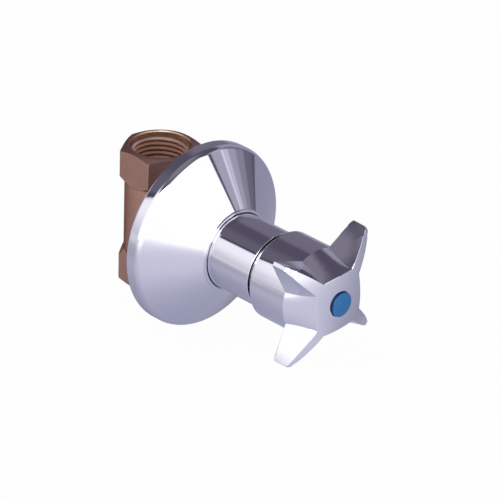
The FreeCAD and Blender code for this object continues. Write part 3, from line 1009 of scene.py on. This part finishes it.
@dataclass(frozen=True)
class Panel:
    """One panel of the studio, by its turn and its height in degrees as the valve sees it.

    A turn of 0 is straight out of the wall, 90 is to the right and -180 is behind the wall. Turns
    run from -240 to 120. Each side of the panel has its own softness.
    """

    turns: tuple[float, float]
    heights: tuple[float, float]
    colour: Colour
    sides: tuple[float, float] = (1.0, 1.0)
    ends: tuple[float, float] = (6.0, 6.0)

    def mask(self, desk: Desk, turn: bpy.types.NodeSocket,
             height: bpy.types.NodeSocket) -> bpy.types.NodeSocket:
        """Tell how much of the panel lies in a direction.

        Args:
            desk: The world's desk.
            turn: The direction's turn.
            height: The direction's height.

        Returns:
            A share from 0 to 1.
        """
        limits = (
            (turn, self.turns[0], self.sides[0]),
            (turn, self.turns[1], -self.sides[1]),
            (height, self.heights[0], self.ends[0]),
            (height, self.heights[1], -self.ends[1]),
        )
        share = 1.0
        for value, edge, softness in limits:
            inside = desk.smooth(value, edge - softness, edge + softness)
            share = desk.math("MULTIPLY", share, inside)
        return share


@dataclass(frozen=True)
class Lamp:
    """One soft box, by its place from the valve's middle and its power in watts."""

    name: str
    place: tuple[float, float, float]
    power: float


@dataclass
class Studio:
    """Floor, light and camera."""

    shop: Workshop
    azimuth: float = math.radians(-45.38)
    elevation: float = math.radians(28.07)
    roll: float = math.radians(2.12)
    distance: float = 1.0
    focal_pixels: float = 2882.6
    frame_pixels: float = 500.0
    sensor_width: float = 36.0
    clip_start: float = 0.05
    aim: Vector = field(default_factory=lambda: Vector((0.843, 2.235, 0.0)) * MM)
    aim_reach: float = 45.0 * MM
    handle_reach: float = 85.0 * MM
    lamp_size: float = 0.5
    lamps: tuple[Lamp, ...] = (
        Lamp("key_lamp", (-0.55, -0.35, 0.55), 3.0),
        Lamp("front_lamp", (-0.15, -0.9, 0.35), 1.5),
    )
    floor_size: float = 6.0
    floor_drop: float = 30.0 * MM
    floor_matt: Colour = (0.80, 0.80, 0.82)
    floor_whiteness: float = 0.97
    # Painted light on the floor as reflections see it: a painted shadow under the valve that
    # lightens further out, and painted shade behind it and to its right.
    floor_shadow_under: Colour = (0.42, 0.43, 0.57)
    floor_near: Colour = (0.765, 0.76, 0.90)
    near_reach: tuple[float, float] = (0.01, 0.15)
    floor_far: Colour = (1.42, 1.41, 1.44)
    far_reach: tuple[float, float] = (0.13, 0.8)
    floor_back_shade: Colour = (0.60, 0.60, 0.62)
    back_reach: tuple[float, float] = (-0.14, 0.16)
    floor_right_shade: Colour = (0.35, 0.35, 0.46)
    right_turn: tuple[float, float] = (0.0, 85.0)
    right_side: tuple[float, float] = (0.0, 0.06)
    right_reach: tuple[float, float] = (0.04, 0.15)
    # Painted shade patch on the floor behind and to the right of the valve, as reflections see it.
    floor_shade: Colour = (0.13, 0.12, 0.16)
    shade_place: tuple[float, float] = (0.05, 0.06)
    shade_reach: tuple[float, float] = (0.10, 0.04)
    slate: Colour = (0.115, 0.10, 0.145)
    slate_high: Colour = (0.27, 0.25, 0.30)
    slate_rise: tuple[float, float] = (56.0, 76.0)
    seam: float = 120.0
    panels: tuple[Panel, ...] = (
        Panel((-250.0, -212.0), (-12.0, 48.0), (0.21, 0.19, 0.25), sides=(1.0, 6.0)),
        Panel((-172.0, -100.0), (-12.0, 62.0), (0.165, 0.15, 0.20), sides=(14.0, 1.0)),
        Panel((-198.0, -152.0), (-12.0, 3.0), (0.60, 0.58, 0.63),
              sides=(8.0, 8.0), ends=(6.0, 3.0)),
        Panel((-174.0, -153.0), (2.0, 31.0), (1.05, 1.00, 1.04),
              sides=(4.0, 2.0), ends=(4.0, 3.0)),
        Panel((-145.0, -138.0), (24.0, 45.0), (0.085, 0.075, 0.105),
              sides=(2.0, 0.5), ends=(4.0, 4.0)),
        Panel((-141.2, -100.0), (-30.0, 56.0), (0.78, 0.76, 0.84),
              sides=(0.8, 1.0), ends=(6.0, 12.0)),
        Panel((-140.4, -100.0), (12.0, 48.0), (1.22, 1.19, 1.24),
              sides=(1.4, 1.0), ends=(13.0, 9.0)),
        Panel((-122.0, 41.3), (-12.0, 53.0), (1.42, 1.42, 1.40),
              sides=(10.0, 0.5), ends=(6.0, 6.0)),
        Panel((41.3, 120.0), (-12.0, 40.0), (0.40, 0.38, 0.475),
              sides=(0.5, 6.0), ends=(6.0, 5.0)),
        Panel((41.3, 44.5), (-12.0, 55.0), (0.105, 0.10, 0.125), sides=(0.5, 1.2)),
        Panel((44.5, 54.0), (-12.0, 40.0), (0.50, 0.48, 0.585), sides=(1.2, 0.8)),
        Panel((54.0, 56.5), (-12.0, 40.0), (0.90, 0.87, 1.03), sides=(0.8, 0.8)),
        Panel((56.5, 61.0), (-12.0, 40.0), (0.70, 0.67, 0.80), sides=(0.8, 1.5)),
        Panel((61.0, 67.0), (-12.0, 34.0), (0.46, 0.44, 0.54), sides=(1.5, 1.5)),
        Panel((67.0, 73.0), (-12.0, 34.0), (0.315, 0.295, 0.38), sides=(1.5, 1.5)),
        Panel((73.0, 84.0), (-12.0, 34.0), (0.19, 0.175, 0.235), sides=(1.5, 1.0)),
        Panel((79.5, 83.0), (-12.0, 30.0), (0.135, 0.125, 0.175), sides=(1.5, 1.0)),
        Panel((84.0, 92.0), (-12.0, 34.0), (0.30, 0.285, 0.355), sides=(1.0, 4.0)),
    )

    def build(self) -> None:
        """Set the whole stage."""
        self._view()
        self._floor()
        self._world()
        self._lamps()
        self._camera()

    @staticmethod
    def _view() -> None:
        """Keep colours as they are written."""
        bpy.context.scene.view_settings.view_transform = "Standard"

    def _floor(self) -> None:
        """Plain pale floor below the valve, which keeps a faint shadow."""
        mesh = bmesh.new()
        bmesh.ops.create_grid(mesh, x_segments=1, y_segments=1, size=self.floor_size)
        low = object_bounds()[0][2] - self.floor_drop
        bmesh.ops.translate(mesh, verts=mesh.verts, vec=(0, 0, low))
        data = bpy.data.meshes.new("floor")
        mesh.to_mesh(data)
        mesh.free()
        floor = bpy.data.objects.new("floor", data)
        bpy.context.scene.collection.objects.link(floor)
        data.materials.append(self._floor_material())
        floor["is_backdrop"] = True

    def _floor_material(self) -> bpy.types.Material:
        """White floor, which shows painted shadow and shade in mirrored light.

        Returns:
            The material.
        """
        material = bpy.data.materials.new("floor_white")
        material.use_nodes = True
        desk = Desk(material.node_tree)
        output = material.node_tree.nodes["Material Output"]
        matt = desk.add("ShaderNodeBsdfDiffuse")
        desk.feed(matt, Color=(*self.floor_matt, 1.0))
        seen = self._glow(desk, (*WHITE, 1.0))
        mirrored = self._glow(desk, self._mirrored_floor(desk))
        path = desk.add("ShaderNodeLightPath")
        share = desk.math("MULTIPLY", self._plain(desk, path), self.floor_whiteness)
        first = self._mix(desk, path.outputs["Is Glossy Ray"], matt, mirrored)
        last = self._mix(desk, share, first, seen)
        desk.feed(output, Surface=last.outputs[0])
        return material

    @staticmethod
    def _plain(desk: Desk, path: bpy.types.Node) -> bpy.types.NodeSocket:
        """Tell whether a ray comes from the camera itself, past the valve or through glass."""
        rays = (path.outputs["Is Camera Ray"], path.outputs["Is Transmission Ray"])
        return desk.math("MAXIMUM", *rays)

    @staticmethod
    def _glow(desk: Desk, colour: object) -> bpy.types.Node:
        """Add an emission of one colour or colour socket."""
        return desk.feed(desk.add("ShaderNodeEmission"), Color=colour, Strength=1.0)

    @staticmethod
    def _mix(desk: Desk, share: bpy.types.NodeSocket, first: bpy.types.Node,
             second: bpy.types.Node) -> bpy.types.Node:
        """Mix two shaders.

        Args:
            desk: The material's desk.
            share: How much of the second.
            first: The first shader.
            second: The second shader.

        Returns:
            The mix.
        """
        node = desk.add("ShaderNodeMixShader")
        for socket, source in zip(node.inputs, (share, first.outputs[0], second.outputs[0])):
            desk.give(socket, source)
        return node

    def _mirrored_floor(self, desk: Desk) -> bpy.types.NodeSocket:
        """Colour of the floor in reflections: painted shadow under the valve, and painted shade
        behind it and to its right.

        Args:
            desk: The floor's desk.

        Returns:
            A colour socket.
        """
        place = desk.place()
        reach = desk.vector_math("LENGTH", place).outputs["Value"]
        east, north, _ = desk.split(place)
        near = desk.smooth(reach, *self.near_reach)
        far = desk.smooth(reach, *self.far_reach)
        # Painted shadow under the valve, lighter further out.
        lit = desk.blend(near, self.floor_shadow_under, self.floor_near)
        lit = desk.blend(far, lit, self.floor_far)
        back = desk.blend(desk.smooth(north, *self.back_reach), WHITE, self.floor_back_shade)
        lit = desk.vector_math("MULTIPLY", lit, back).outputs["Vector"]
        ahead = desk.math("SUBTRACT", -self.handle_reach, north)
        turn = desk.math("DEGREES", desk.math("ARCTAN2", east, ahead))
        right = desk.math("MULTIPLY", desk.smooth(turn, *self.right_turn),
                          desk.smooth(east, *self.right_side))
        right = desk.math("MULTIPLY", right, desk.smooth(reach, *self.right_reach))
        lit = desk.blend(right, lit, self.floor_right_shade)
        offset = desk.vector_math("DISTANCE", place, (*self.shade_place, 0.0)).outputs["Value"]
        return desk.blend(desk.smooth(offset, *self.shade_reach), lit, self.floor_shade)

    def _world(self) -> None:
        """Studio round the valve, with plain white wherever the camera looks past it."""
        world = bpy.data.worlds.new("studio")
        world.use_nodes = True
        bpy.context.scene.world = world
        desk = Desk(world.node_tree)
        background = world.node_tree.nodes["Background"]
        east, north, rise = desk.split(desk.add("ShaderNodeTexCoord").outputs["Generated"])
        ahead = desk.math("MULTIPLY", north, -1.0)
        turn = desk.math("DEGREES", desk.math("ARCTAN2", east, ahead))
        past_seam = desk.math("GREATER_THAN", turn, self.seam)
        turn = desk.math("SUBTRACT", turn, desk.math("MULTIPLY", past_seam, 360.0))
        height = desk.math("DEGREES", desk.math("ARCSINE", rise))
        high = desk.smooth(height, *self.slate_rise)
        colour = desk.blend(high, self.slate, self.slate_high)
        for panel in self.panels:
            colour = desk.blend(panel.mask(desk, turn, height), colour, panel.colour)
        plain = self._plain(desk, desk.add("ShaderNodeLightPath"))
        desk.feed(background, Color=desk.blend(plain, colour, WHITE), Strength=1.0)

    def _middle(self) -> Vector:
        """Point of the spindle's axis that the lamps and the camera look at."""
        return Vector((0, -self.aim_reach, self.shop.spindle_height))

    def _lamps(self) -> None:
        """Soft boxes on the left and in front."""
        for lamp in self.lamps:
            light = bpy.data.lights.new(lamp.name, "AREA")
            light.size = self.lamp_size
            light.energy = lamp.power
            holder = bpy.data.objects.new(lamp.name, light)
            place = Vector(lamp.place)
            holder.location = self._middle() + place
            holder.rotation_euler = (-place).to_track_quat("-Z", "Y").to_euler()
            bpy.context.scene.collection.objects.link(holder)

    def _camera(self) -> None:
        """Camera at the photograph's viewing angle."""
        back = Vector((
            math.sin(self.azimuth) * math.cos(self.elevation),
            -math.cos(self.azimuth) * math.cos(self.elevation),
            math.sin(self.elevation),
        ))
        level = Vector((math.cos(self.azimuth), math.sin(self.azimuth), 0.0))
        rise = back.cross(level)
        right = math.cos(self.roll) * level + math.sin(self.roll) * rise
        over = math.cos(self.roll) * rise - math.sin(self.roll) * level
        shift = self.aim.x * right + self.aim.y * over
        place = self._middle() + self.distance * back + shift
        lens = bpy.data.cameras.new("camera")
        lens.sensor_width = self.sensor_width
        lens.lens = self.focal_pixels / self.frame_pixels * self.sensor_width
        lens.clip_start = self.clip_start
        camera = bpy.data.objects.new("camera", lens)
        turn = Matrix((right, over, back)).transposed().to_4x4()
        camera.matrix_world = Matrix.Translation(place) @ turn
        bpy.context.scene.collection.objects.link(camera)
        bpy.context.scene.camera = camera


def main() -> None:
    """Build the valve's pieces, then the studio."""
    logging.basicConfig(level=logging.INFO, format="%(name)s: %(message)s")
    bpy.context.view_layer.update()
    shop = Workshop()
    for assembly in (PipeBody(shop), Headpart(shop), Trim(shop), HandleSet(shop)):
        assembly.build()
        log.info("%s done", type(assembly).__name__)
    Studio(shop).build()


if __name__ == "__main__":
    main()
